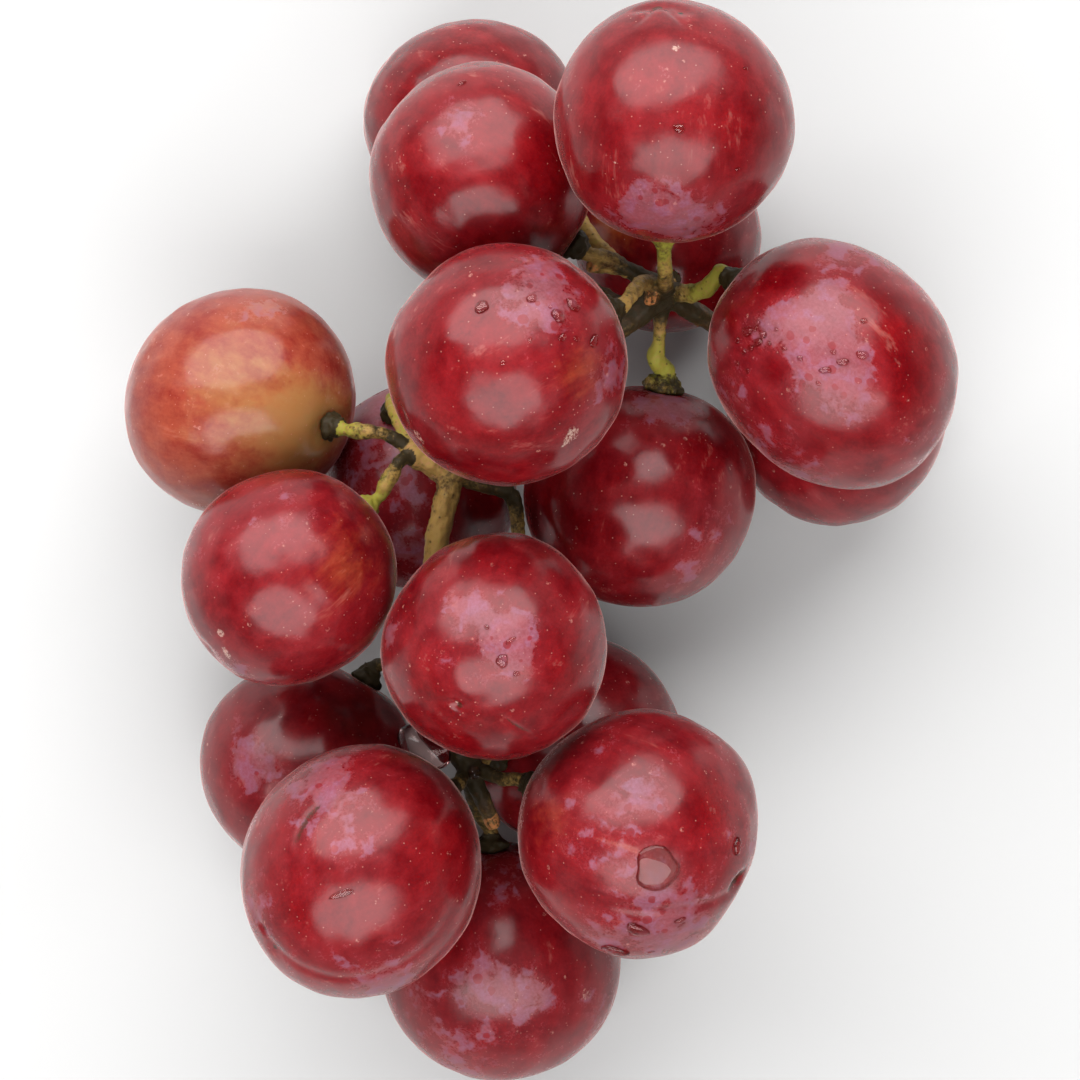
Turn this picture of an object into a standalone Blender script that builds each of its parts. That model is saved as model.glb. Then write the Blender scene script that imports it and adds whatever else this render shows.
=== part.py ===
# Bunch of large red grapes: seventeen berries on one branching stem, lying on a flat surface.
# +Z is up, the bunch is longest along Y, and the origin is on the surface, below the middle of the bunch.
# Every size and place below is in millimetres and is turned into metres where a mesh is made.

import math

import bmesh
import bpy
from mathutils import Matrix, Vector

MM = 0.001

# Berries.
BERRY_SEGMENTS = 18
BERRY_RINGS = 12
STALK_HOLLOW_DEPTH = 0.6
STALK_HOLLOW_WIDTH = 2.2
TIP_DIMPLE_DEPTH = 0.3
TIP_DIMPLE_WIDTH = 1.2

# Stem.
STALK_RADIUS = 0.8
COLLAR_RADIUS = 1.8
COLLAR_NECK_RADIUS = 1.05
COLLAR_THICKNESS = 0.8
COLLAR_NECK_HEIGHT = 1.4
COLLAR_HEIGHT = 2.1
COLLAR_SINK = 0.1
STEPS_PER_SPAN = 3
TUBE_ROUNDNESS = 2
CAP_WELD = 0.01

# Surface that the bunch lies on.
TABLE_SIZE = 200.0
TABLE_DEPTH = 10.0

RED_SKIN = "red_skin"
AMBER_SKIN = "amber_skin"

# One row for each berry: its middle, its half sizes, the turn of the first half size about +Z in degrees,
# the way from its middle to its stalk, its skin, and the low bulges and flats on it.
# A bulge is a direction from the middle, a height (below zero for a flat) and a width in parts of the radius.
BERRIES = {
    "berry_01": {"middle": (14.6, 45.6, 49.6), "half": (13.0, 12.9, 12.9), "turn": 0, "stalk": (-0.05, -0.86, -0.5),
                 "skin": RED_SKIN, "bulges": [((-1.0, -0.2, 0.1), -0.4, 0.35), ((-0.2, 0.97, 0.1), 0.3, 0.4)]},
    "berry_02": {"middle": (-6.1, 41.0, 34.9), "half": (12.4, 12.9, 12.6), "turn": 0, "stalk": (0.82, -0.56, -0.1),
                 "skin": RED_SKIN, "bulges": [((-0.62, 0.78, 0.0), -0.4, 0.4)]},
    "berry_03": {"middle": (-7.9, 50.5, 11.9), "half": (12.5, 10.8, 12.2), "turn": 17, "stalk": (0.75, -0.6, 0.3),
                 "skin": RED_SKIN, "bulges": []},
    "berry_04": {"middle": (-3.2, 19.7, 49.7), "half": (12.9, 13.0, 12.9), "turn": 0, "stalk": (0.88, 0.46, -0.3),
                 "skin": RED_SKIN, "bulges": [((-0.72, 0.69, 0.1), -0.2, 0.4)]},
    "berry_05": {"middle": (32.6, 20.3, 38.9), "half": (14.4, 12.9, 13.6), "turn": -46, "stalk": (-0.77, 0.64, -0.15),
                 "skin": RED_SKIN, "bulges": [((0.57, 0.82, 0.1), -0.3, 0.5), ((-0.98, -0.15, 0.1), 0.4, 0.4),
                                              ((-0.78, -0.62, 0.0), -0.4, 0.4), ((0.5, -0.87, 0.0), 0.4, 0.4)]},
    "berry_06": {"middle": (34.9, 16.3, 12.5), "half": (12.8, 13.7, 12.8), "turn": 0, "stalk": (-0.7, 0.3, 0.65),
                 "skin": RED_SKIN, "bulges": []},
    "berry_07": {"middle": (11.9, 5.9, 20.8), "half": (13.3, 12.7, 13.0), "turn": 10, "stalk": (0.18, 0.97, 0.2),
                 "skin": RED_SKIN, "bulges": [((0.87, 0.5, 0.0), 0.3, 0.35), ((0.96, -0.3, 0.0), -0.3, 0.35)]},
    "berry_08": {"middle": (-33.7, 16.6, 23.2), "half": (13.4, 12.6, 13.0), "turn": 37, "stalk": (0.82, -0.25, 0.53),
                 "skin": AMBER_SKIN, "bulges": []},
    "berry_09": {"middle": (-27.4, -3.3, 37.2), "half": (12.1, 11.7, 12.1), "turn": 63, "stalk": (0.72, 0.64, -0.27),
                 "skin": RED_SKIN, "bulges": [((0.4, -0.9, 0.1), -0.4, 0.35), ((0.95, 0.1, 0.2), 0.3, 0.4),
                                              ((-0.75, -0.65, 0.0), -0.3, 0.4)]},
    "berry_10": {"middle": (-13.8, 7.1, 11.7), "half": (11.5, 12.0, 12.0), "turn": 0, "stalk": (-0.2, 0.7, 0.69),
                 "skin": RED_SKIN, "bulges": []},
    "berry_11": {"middle": (-4.6, -10.8, 42.2), "half": (12.4, 12.3, 12.4), "turn": 0, "stalk": (0.3, 0.5, -0.81),
                 "skin": RED_SKIN, "bulges": [((-0.79, 0.61, 0.0), -0.5, 0.35), ((0.3, 0.95, 0.0), 0.3, 0.4)]},
    "berry_12": {"middle": (-26.2, -25.8, 12.1), "half": (13.2, 12.2, 12.4), "turn": -30, "stalk": (0.52, 0.85, 0.0),
                 "skin": RED_SKIN, "bulges": []},
    "berry_13": {"middle": (-19.4, -35.6, 35.8), "half": (14.2, 13.2, 13.7), "turn": 71, "stalk": (0.68, 0.55, -0.48),
                 "skin": RED_SKIN, "bulges": [((-0.5, 0.87, 0.0), -0.3, 0.4)]},
    "berry_14": {"middle": (15.3, 36.3, 11.1), "half": (10.9, 11.2, 11.5), "turn": 0, "stalk": (0.0, -0.5, 0.87),
                 "skin": RED_SKIN, "bulges": []},
    "berry_15": {"middle": (11.2, -31.6, 35.8), "half": (13.3, 13.8, 13.6), "turn": 0, "stalk": (-0.85, 0.36, -0.38),
                 "skin": RED_SKIN, "bulges": [((0.81, 0.59, 0.0), 0.7, 0.4), ((-0.6, 0.8, 0.0), -0.5, 0.4),
                                              ((-0.62, -0.78, 0.0), -0.4, 0.4), ((0.87, -0.5, 0.0), -0.8, 0.35)]},
    "berry_16": {"middle": (4.2, -22.5, 12.1), "half": (12.5, 12.3, 12.4), "turn": 0, "stalk": (-0.7, -0.1, 0.7),
                 "skin": RED_SKIN, "bulges": []},
    "berry_17": {"middle": (-4.2, -48.0, 13.1), "half": (14.0, 13.8, 13.4), "turn": 0, "stalk": (-0.07, 0.97, 0.2),
                 "skin": RED_SKIN, "bulges": []},
}

# Knots where the stem forks.
UPPER_KNOT = (14.4, 28.9, 30.0)
MIDDLE_KNOT = (-9.6, 8.3, 30.0)
SIDE_KNOT = (-13.6, 10.7, 31.0)
FORK_KNOT = (-2.8, 6.4, 27.9)
LOWER_KNOT = (-7.8, -24.4, 26.0)

# Main limbs of the stem: points along each, with the radius there as the fourth number.
LIMBS = {
    "cut_stalk": [(1.6, 30.6, 23.4, 2.3), (2.6, 29.9, 24.2, 2.0), (6.6, 27.8, 27.4, 1.9), (10.6, 26.0, 30.0, 1.7)],
    "upper_stalk": [(15.2, 29.6, 30.0, 1.5), (*UPPER_KNOT, 1.9), (11.2, 26.4, 30.2, 1.7), (6.2, 22.6, 30.3, 1.6),
                    (-1.5, 15.4, 30.2, 1.5), (*MIDDLE_KNOT, 1.7), (-10.8, 7.0, 29.9, 1.3)],
    "side_branch": [(*MIDDLE_KNOT, 1.4), (-11.6, 9.6, 30.6, 1.6), (*SIDE_KNOT, 1.6), (-15.0, 11.2, 31.1, 1.1)],
    "lower_stalk": [(*MIDDLE_KNOT, 1.4), (-10.0, 5.8, 30.0, 1.4), (-11.2, 0.3, 29.5, 1.3), (-12.0, -8.0, 28.0, 1.2),
                    (-11.2, -16.5, 27.2, 1.3), (*LOWER_KNOT, 1.5), (-7.0, -25.4, 25.6, 1.1)],
    "fork": [(*MIDDLE_KNOT, 1.1), (-5.8, 7.3, 28.6, 1.1), (*FORK_KNOT, 1.1)],
    "upper_stub": [(*UPPER_KNOT, 1.1), (13.3, 28.1, 32.0, 1.0), (12.6, 27.8, 33.4, 0.85)],
    "branch_stub": [(9.2, 31.5, 29.8, 1.0), (7.4, 31.6, 31.0, 0.9), (5.9, 31.5, 32.0, 0.85)],
    "lower_stub": [(*LOWER_KNOT, 1.1), (-6.2, -28.3, 25.0, 1.0), (-4.8, -31.6, 23.4, 0.9)],
}

# Small stalks: the way from a limb to each berry, with the radius as the fourth number.
# The stalk's flared collar on the berry follows from the berry's own row.
STALKS = {
    "berry_01": [(*UPPER_KNOT, 1.2), (14.3, 29.3, 34.0, 0.95), (14.1, 30.6, 39.0, 0.85)],
    "berry_02": [(*UPPER_KNOT, 1.2), (10.6, 31.0, 30.2, 1.0), (7.6, 32.4, 31.8, 0.95)],
    "berry_03": [(10.2, 31.0, 30.2, 0.8), (6.6, 34.6, 26.4, 0.85), (4.6, 38.4, 21.0, 0.8)],
    "berry_04": [(*UPPER_KNOT, 1.2), (12.4, 29.4, 34.0, 0.95), (11.2, 28.8, 40.0, 0.85)],
    "berry_05": [(*UPPER_KNOT, 1.1), (16.8, 28.4, 31.8, 0.95), (19.0, 28.9, 34.2, 0.9)],
    "berry_06": [(*UPPER_KNOT, 1.3), (17.2, 26.9, 27.9, 1.25), (20.4, 25.0, 26.2, 1.1)],
    "berry_07": [(*UPPER_KNOT, 1.1), (14.0, 26.0, 28.2, 0.85), (13.8, 23.2, 26.4, 0.75), (13.5, 21.4, 25.2, 1.1)],
    "berry_08": [(*SIDE_KNOT, 1.0), (-16.9, 12.7, 31.9, 0.65), (-19.4, 13.0, 31.9, 0.75)],
    "berry_09": [(*SIDE_KNOT, 1.0), (-15.1, 9.7, 32.6, 0.7), (-16.6, 7.4, 33.6, 0.8)],
    "berry_10": [(*SIDE_KNOT, 1.0), (-15.0, 13.2, 28.2, 0.8), (-16.2, 15.8, 24.6, 0.8)],
    "berry_11": [(*FORK_KNOT, 1.0), (-2.3, 4.0, 27.5, 0.85), (-1.9, 1.0, 27.5, 0.8), (-0.8, -1.6, 28.2, 0.8)],
    "berry_12": [(-11.5, -14.8, 27.4, 1.0), (-13.2, -14.6, 20.4, 0.8), (-16.0, -13.6, 14.6, 0.8)],
    "berry_13": [(*LOWER_KNOT, 1.0), (-8.3, -25.6, 26.9, 0.85)],
    "berry_14": [(*UPPER_KNOT, 1.2), (14.8, 28.6, 26.4, 0.85)],
    "berry_15": [(*LOWER_KNOT, 1.0), (-5.8, -25.3, 26.8, 0.85), (-3.7, -26.0, 28.3, 0.8)],
    "berry_16": [(*LOWER_KNOT, 1.0), (-6.8, -23.8, 23.9, 0.8)],
    "berry_17": [(*LOWER_KNOT, 1.1), (-7.5, -27.2, 23.4, 0.85), (-6.6, -30.4, 19.4, 0.8)],
}


def clear_scene():
    for old in list(bpy.data.objects):
        bpy.data.objects.remove(old, do_unlink=True)


def new_collection(name):
    collection = bpy.data.collections.new(name)
    bpy.context.scene.collection.children.link(collection)
    return collection


def make_material(name, colour, roughness):
    material = bpy.data.materials.new(name)
    material.use_nodes = True
    shader = material.node_tree.nodes["Principled BSDF"]
    shader.inputs["Base Color"].default_value = (*colour, 1.0)
    shader.inputs["Roughness"].default_value = roughness
    shader.inputs["Metallic"].default_value = 0.0
    return material


def make_red_skin():
    return make_material(RED_SKIN, (0.30, 0.03, 0.04), 0.30)


def make_amber_skin():
    return make_material(AMBER_SKIN, (0.45, 0.13, 0.05), 0.30)


def make_stem_bark():
    return make_material("stem_bark", (0.20, 0.17, 0.05), 0.70)


def berry_stretch(row):
    # The matrix that turns a ball of radius 1 into the berry's plain oval.
    turn = Matrix.Rotation(math.radians(row["turn"]), 3, "Z")
    sizes = Matrix.Diagonal(Vector(row["half"]))
    return turn @ sizes @ turn.transposed()


def hump(distance, width):
    return math.exp(-((distance / width) ** 2))


def berry_point(row, way):
    # The place on the berry's skin, from its middle, that lies in the given direction.
    stalk_way = Vector(row["stalk"]).normalized()
    place = berry_stretch(row) @ way
    radius = place.length
    height = 0.0
    for bulge_way, bulge_height, bulge_width in row["bulges"]:
        height += bulge_height * hump((way - Vector(bulge_way).normalized()).length, bulge_width)
    height -= STALK_HOLLOW_DEPTH * hump((way - stalk_way).length * radius, STALK_HOLLOW_WIDTH)
    height -= TIP_DIMPLE_DEPTH * hump((way + stalk_way).length * radius, TIP_DIMPLE_WIDTH)
    return place * (1.0 + height / radius)


def make_table_cutter(collection):
    mesh = bpy.data.meshes.new("table_cutter")
    shape = bmesh.new()
    bmesh.ops.create_cube(shape, size=1.0)
    bmesh.ops.scale(shape, vec=Vector((TABLE_SIZE, TABLE_SIZE, TABLE_DEPTH)) * MM, verts=shape.verts)
    bmesh.ops.translate(shape, vec=Vector((0.0, 0.0, -TABLE_DEPTH / 2)) * MM, verts=shape.verts)
    shape.to_mesh(mesh)
    shape.free()
    cutter = bpy.data.objects.new("table_cutter", mesh)
    cutter.hide_render = True
    cutter.display_type = "WIRE"
    collection.objects.link(cutter)
    return cutter


def make_berry(name, row, material, collection, table_cutter):
    mesh = bpy.data.meshes.new(name)
    shape = bmesh.new()
    towards_stalk = Vector(row["stalk"]).to_track_quat("Z", "Y").to_matrix().to_4x4()
    bmesh.ops.create_uvsphere(shape, u_segments=BERRY_SEGMENTS, v_segments=BERRY_RINGS, radius=1.0,
                              matrix=towards_stalk)
    for corner in shape.verts:
        corner.co = berry_point(row, corner.co.normalized()) * MM
    shape.to_mesh(mesh)
    shape.free()
    mesh.shade_smooth()
    mesh.materials.append(material)
    berry = bpy.data.objects.new(name, mesh)
    berry.location = Vector(row["middle"]) * MM
    collection.objects.link(berry)
    lowest = row["middle"][2] + min(corner.co.z for corner in mesh.vertices) / MM
    if lowest < 0.0:
        rest = berry.modifiers.new("rest spot", "BOOLEAN")
        rest.operation = "DIFFERENCE"
        rest.object = table_cutter
    return berry


def smooth_path(points):
    # Points on a smooth curve through the given points, the radius with them (Catmull-Rom).
    rows = [Vector(point) for point in points]
    rows = [2 * rows[0] - rows[1]] + rows + [2 * rows[-1] - rows[-2]]
    path = []
    for before, start, end, after in zip(rows, rows[1:], rows[2:], rows[3:]):
        for step in range(STEPS_PER_SPAN):
            part = step / STEPS_PER_SPAN
            bend = 2 * before - 5 * start + 4 * end - after
            swing = 3 * start - before - 3 * end + after
            path.append(0.5 * (2 * start + (end - before) * part + bend * part ** 2 + swing * part ** 3))
    path.append(rows[-2])
    return path


def make_tube(name, path, collection):
    # A round tube along the path as a closed mesh, its end caps welded on.
    curve = bpy.data.curves.new(name, "CURVE")
    curve.dimensions = "3D"
    curve.bevel_depth = MM
    curve.bevel_resolution = TUBE_ROUNDNESS
    curve.use_fill_caps = True
    spline = curve.splines.new("POLY")
    spline.points.add(len(path) - 1)
    for point, (x, y, z, radius) in zip(spline.points, path):
        point.co = (x * MM, y * MM, z * MM, 1.0)
        point.radius = radius
    guide = bpy.data.objects.new(name + "_guide", curve)
    collection.objects.link(guide)
    bpy.context.view_layer.update()
    evaluated = guide.evaluated_get(bpy.context.evaluated_depsgraph_get())
    mesh = bpy.data.meshes.new_from_object(evaluated)
    shape = bmesh.new()
    shape.from_mesh(mesh)
    bmesh.ops.remove_doubles(shape, verts=shape.verts, dist=CAP_WELD * MM)
    bmesh.ops.recalc_face_normals(shape, faces=shape.faces)
    shape.to_mesh(mesh)
    shape.free()
    tube = bpy.data.objects.new(name, mesh)
    tube.matrix_world = guide.matrix_world
    collection.objects.link(tube)
    bpy.data.objects.remove(guide, do_unlink=True)
    return tube


def collar_points(row):
    # The flared end of a small stalk, from its neck to the flat disc that sits in the berry's hollow.
    stalk_way = Vector(row["stalk"]).normalized()
    seat = Vector(row["middle"]) + berry_stretch(row) @ stalk_way - stalk_way * COLLAR_SINK
    profile = [(COLLAR_HEIGHT, STALK_RADIUS), (COLLAR_NECK_HEIGHT, COLLAR_NECK_RADIUS),
               (COLLAR_THICKNESS, COLLAR_RADIUS), (0.0, COLLAR_RADIUS)]
    return [Vector((*(seat + stalk_way * height), radius)) for height, radius in profile]


def make_stem(material, collection, tube_collection):
    tubes = []
    for name, points in LIMBS.items():
        tubes.append(make_tube(name, smooth_path(points), tube_collection))
    for name, points in STALKS.items():
        collar = collar_points(BERRIES[name])
        path = smooth_path(points + collar[:1]) + collar[1:]
        tubes.append(make_tube(name + "_stalk", path, tube_collection))
    stem = tubes[0]
    stem.name = "stem"
    stem.data.name = "stem"
    tube_collection.objects.unlink(stem)
    collection.objects.link(stem)
    union = stem.modifiers.new("joined limbs", "BOOLEAN")
    union.operation = "UNION"
    union.operand_type = "COLLECTION"
    union.collection = tube_collection
    bpy.context.view_layer.update()
    joined = bpy.data.meshes.new_from_object(stem.evaluated_get(bpy.context.evaluated_depsgraph_get()))
    stem.modifiers.remove(union)
    stem.data = joined
    for tube in tubes[1:]:
        bpy.data.objects.remove(tube, do_unlink=True)
    joined.shade_smooth()
    joined.materials.clear()
    joined.materials.append(material)
    return stem


def main():
    clear_scene()
    bunch = new_collection("grape_bunch")
    cutters = new_collection("cutters")
    tubes = new_collection("stem_tubes")
    skins = {RED_SKIN: make_red_skin(), AMBER_SKIN: make_amber_skin()}
    table_cutter = make_table_cutter(cutters)
    for name, row in BERRIES.items():
        make_berry(name, row, skins[row["skin"]], bunch, table_cutter)
    make_stem(make_stem_bark(), bunch, tubes)


main()
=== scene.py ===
import math

import bpy
import numpy as np
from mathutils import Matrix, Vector


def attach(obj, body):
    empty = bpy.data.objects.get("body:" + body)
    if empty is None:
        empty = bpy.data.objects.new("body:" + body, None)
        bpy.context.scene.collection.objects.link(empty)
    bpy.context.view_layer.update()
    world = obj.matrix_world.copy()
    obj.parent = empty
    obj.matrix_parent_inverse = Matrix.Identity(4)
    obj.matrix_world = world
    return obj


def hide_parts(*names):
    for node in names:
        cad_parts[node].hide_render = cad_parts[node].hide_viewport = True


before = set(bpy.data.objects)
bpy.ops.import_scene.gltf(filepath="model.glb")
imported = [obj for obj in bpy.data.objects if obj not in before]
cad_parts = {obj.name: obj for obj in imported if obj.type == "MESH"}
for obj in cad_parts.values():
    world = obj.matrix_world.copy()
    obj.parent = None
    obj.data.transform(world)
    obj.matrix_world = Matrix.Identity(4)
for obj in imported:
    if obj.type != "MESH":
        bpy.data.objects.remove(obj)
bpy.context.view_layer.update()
mm = 0.001


# Small helpers for nodes and meshes

def addNode(tree, kind, values=None, **settings):
    made = tree.nodes.new(kind)
    for name, value in settings.items():
        setattr(made, name, value)
    for socket, value in (values or {}).items():
        if isinstance(value, bpy.types.NodeSocket):
            tree.links.new(value, made.inputs[socket])
        else:
            made.inputs[socket].default_value = value
    return made


def calc(tree, operation, first, second):
    return addNode(tree, "ShaderNodeMath", {0: first, 1: second}, operation=operation).outputs[0]


def weighted(tree, *terms):
    # the sum of value * weight
    total = None
    for value, weight in terms:
        part = value if weight == 1.0 else calc(tree, "MULTIPLY", value, weight)
        total = part if total is None else calc(tree, "ADD", total, part)
    return total


def rise(tree, value, low, high, start=0.0, end=1.0):
    # smooth step from start at low to end at high
    sockets = {"Value": value, "From Min": low, "From Max": high, "To Min": start, "To Max": end}
    return addNode(tree, "ShaderNodeMapRange", sockets, interpolation_type="SMOOTHSTEP").outputs["Result"]


def noise(tree, point, scale, detail, rough, warp=0.0):
    sockets = {"Vector": point, "Scale": scale, "Detail": detail, "Roughness": rough, "Distortion": warp}
    return addNode(tree, "ShaderNodeTexNoise", sockets).outputs["Fac"]


def scatter(tree, point, scale, channel):
    # scattered spots: the distance to the nearest one and its own random value
    cells = addNode(tree, "ShaderNodeTexVoronoi", {"Vector": point, "Scale": scale, "Randomness": 1.0})
    chance = addNode(tree, "ShaderNodeSeparateColor", {0: cells.outputs["Color"]}).outputs[channel]
    return cells.outputs["Distance"], chance


def tint(tree, amount, under, over):
    colours = {6: under if isinstance(under, bpy.types.NodeSocket) else (*under, 1.0),
               7: over if isinstance(over, bpy.types.NodeSocket) else (*over, 1.0), 0: amount}
    return addNode(tree, "ShaderNodeMix", colours, data_type="RGBA").outputs[2]


def cover(tree, colour, amount, share, over):
    return tint(tree, calc(tree, "MULTIPLY", amount, share), colour, over)


def attribute(tree, name, output="Fac"):
    return addNode(tree, "ShaderNodeAttribute", attribute_name=name).outputs[output]


def newGroup(name, inputs, outputs):
    tree = bpy.data.node_groups.new(name, "ShaderNodeTree")
    for socketName, kind, value in inputs:
        socket = tree.interface.new_socket(socketName, in_out="INPUT", socket_type=kind)
        if value is not None:
            socket.default_value = value
    for socketName, kind in outputs:
        tree.interface.new_socket(socketName, in_out="OUTPUT", socket_type=kind)
    return tree, tree.nodes.new("NodeGroupInput").outputs, tree.nodes.new("NodeGroupOutput").inputs


def useGroup(tree, group, values):
    return addNode(tree, "ShaderNodeGroup", values, node_tree=group).outputs


def newMaterial(name, plain):
    material = bpy.data.materials.new(name)
    material.use_nodes = True
    tree = material.node_tree
    shader = tree.nodes["Principled BSDF"]
    for socket, value in plain.items():
        shader.inputs[socket].default_value = value
    return material, tree, shader


def addBump(tree, shader, height, strength, depth):
    bump = addNode(tree, "ShaderNodeBump", {"Height": height, "Strength": strength, "Distance": depth * mm})
    tree.links.new(bump.outputs["Normal"], shader.inputs["Normal"])


def closedGrid(rings, columns):
    # faces of a grid that wraps round and closes in a pole at both ends: corner 0 is the first pole,
    # corner 1 + ring * columns + column is on a ring, and the last corner is the other pole
    ring = np.arange(rings - 1)[:, None] * columns + 1
    column = np.arange(columns)
    after = (column + 1) % columns
    quads = np.stack([ring + column, ring + columns + column, ring + columns + after, ring + after], -1)
    lastRing = 1 + (rings - 1) * columns
    firstFan = np.stack([np.zeros(columns, int), 1 + column, 1 + after], -1)
    lastFan = np.stack([np.full(columns, rings * columns + 1), lastRing + after, lastRing + column], -1)
    return quads.reshape(-1, 4).tolist() + firstFan.tolist() + lastFan.tolist()


def ringAngles(rings, columns):
    # how far each ring is from the first pole, as a column, and how far round each corner of a ring is
    return (np.arange(rings)[:, None] + 1) * math.pi / (rings + 1), np.arange(columns) * 2 * math.pi / columns


def withPoles(first, values, last):
    return np.concatenate([[first], values.ravel(), [last]])


def unitBall(rings, columns):
    # (cos tilt, sin tilt cos turn, sin tilt sin turn), in the order of closedGrid's corners
    tilt, turn = ringAngles(rings, columns)
    return np.column_stack([withPoles(1.0, np.cos(tilt) * np.ones(columns), -1.0),
                            withPoles(0.0, np.sin(tilt) * np.cos(turn), 0.0),
                            withPoles(0.0, np.sin(tilt) * np.sin(turn), 0.0)])


def turned(a, b, degrees):
    angle = math.radians(degrees)
    return a * math.cos(angle) - b * math.sin(angle), a * math.sin(angle) + b * math.cos(angle)


def newObject(name, data):
    made = bpy.data.objects.new(name, data)
    bpy.context.scene.collection.objects.link(made)
    return made


def newPiece(name, points, faces, material):
    mesh = bpy.data.meshes.new(name)
    mesh.from_pydata(points.tolist(), [], faces)
    mesh.shade_smooth()
    mesh.materials.append(material)
    return newObject(name, mesh)


def setValues(mesh, name, values):
    kind, field = ("FLOAT", "value") if values.ndim == 1 else ("FLOAT_VECTOR", "vector")
    mesh.attributes.new(name, kind, "POINT").data.foreach_set(field, values.astype(np.float32).ravel())


def ripple(points, seed, wavelength, waves=24):
    # the sum of plane waves sin(2 pi * way . point / wavelength + start) over seeded ways, evened out to about 1
    random = np.random.default_rng(seed)
    ways = random.normal(size=(3, waves))
    ways *= random.uniform(0.6, 1.4, waves) / np.linalg.norm(ways, axis=0)
    starts = random.uniform(0.0, 2 * math.pi, waves)
    return np.sin(points @ ways * (2 * math.pi / wavelength) + starts).sum(1) / math.sqrt(waves / 2)


def unit(vectors):
    return vectors / np.linalg.norm(vectors, axis=-1, keepdims=True)


# Camera, lights and floor

view = {"place": (0.4, 0.9, 480.0), "lens": 133.93, "sensor": 36.0, "nearest": 10.0, "farthest": 20000.0}
softboxes = {
    "top_softbox": {"place": (-90, 500, 540), "aim": (0, 0, 30), "width": 1500, "height": 850, "power": 17.5},
    "low_softbox": {"place": (-10, -400, 600), "aim": (0, 0, 30), "width": 1060, "height": 590, "power": 8.2},
}
surroundings = {"horizon": (0.60, 0.60, 0.60), "above": (0.09, 0.09, 0.095), "levels": (0.02, 0.35)}
# the floor is just under the berries' rest spots
floorLook = {"size": 3000.0, "below": 0.02, "colour": (0.41, 0.41, 0.408), "roughness": 0.8}


def makeCamera():
    camera = newObject("camera", bpy.data.cameras.new("camera"))
    camera.data.lens = view["lens"]
    camera.data.sensor_width = view["sensor"]
    camera.data.clip_start = view["nearest"] * mm
    camera.data.clip_end = view["farthest"] * mm
    camera.location = np.array(view["place"]) * mm
    bpy.context.scene.camera = camera


def makeSoftbox(name, look):
    light = bpy.data.lights.new(name, "AREA")
    light.shape = "ELLIPSE"
    light.size = look["width"] * mm
    light.size_y = look["height"] * mm
    light.energy = look["power"]
    box = newObject(name, light)
    box.location = np.array(look["place"]) * mm
    box.rotation_mode = "QUATERNION"
    box.rotation_quaternion = (box.location - Vector(look["aim"]) * mm).to_track_quat("Z", "Y")
    box.visible_camera = False


def makeSurroundings():
    # pale at the horizon, dimmer overhead, so that rims stay pale and the facing skin deep
    world = bpy.data.worlds.new("studio")
    bpy.context.scene.world = world
    world.use_nodes = True
    tree = world.node_tree
    height = addNode(tree, "ShaderNodeSeparateXYZ", {0: addNode(tree, "ShaderNodeTexCoord").outputs["Generated"]})
    share = rise(tree, height.outputs["Z"], *surroundings["levels"])
    colour = tint(tree, share, surroundings["horizon"], surroundings["above"])
    tree.links.new(colour, tree.nodes["Background"].inputs["Color"])


def makeFloor():
    material, tree, shader = newMaterial("pale_floor", {"Roughness": floorLook["roughness"]})
    shader.inputs["Base Color"].default_value = (*floorLook["colour"], 1.0)
    side = floorLook["size"] * mm / 2
    low = -floorLook["below"] * mm
    corners = np.array([(-side, -side, low), (side, -side, low), (side, side, low), (-side, side, low)])
    floor = newPiece("floor", corners, [(0, 1, 2, 3)], material)


bpy.context.scene.view_settings.view_transform = "Standard"
bpy.context.scene.cycles.max_bounces = 4
bpy.context.scene.cycles.diffuse_bounces = 2
bpy.context.scene.cycles.glossy_bounces = 2
makeCamera()
makeSurroundings()
makeFloor()
for boxName, boxLook in softboxes.items():
    makeSoftbox(boxName, boxLook)
print("studio ready")


# Shared effects

# noises: (cells per mm, detail, roughness, warp); levels: where a step starts and ends
bloom = {"broad": (0.15, 2.0, 0.5), "mottle": (0.5, 3.0, 0.52, 0.5), "grain": (2.8, 4.0, 0.7), "waviness": 0.6,
         "raggedness": 0.10, "crispLevels": (0.47, 0.52), "crispAmount": 0.85, "softLevels": (0.3, 0.9),
         "softAmount": 0.38, "hazeLevels": (-0.25, 1.1), "grainLevels": (0.3, 0.7), "grainAmounts": (0.6, 1.2),
         "holeScale": 0.75, "holeChances": (0.3, 1.0), "holeSize": 0.8, "holeEdge": -0.05, "holeDepth": 0.85}


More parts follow.
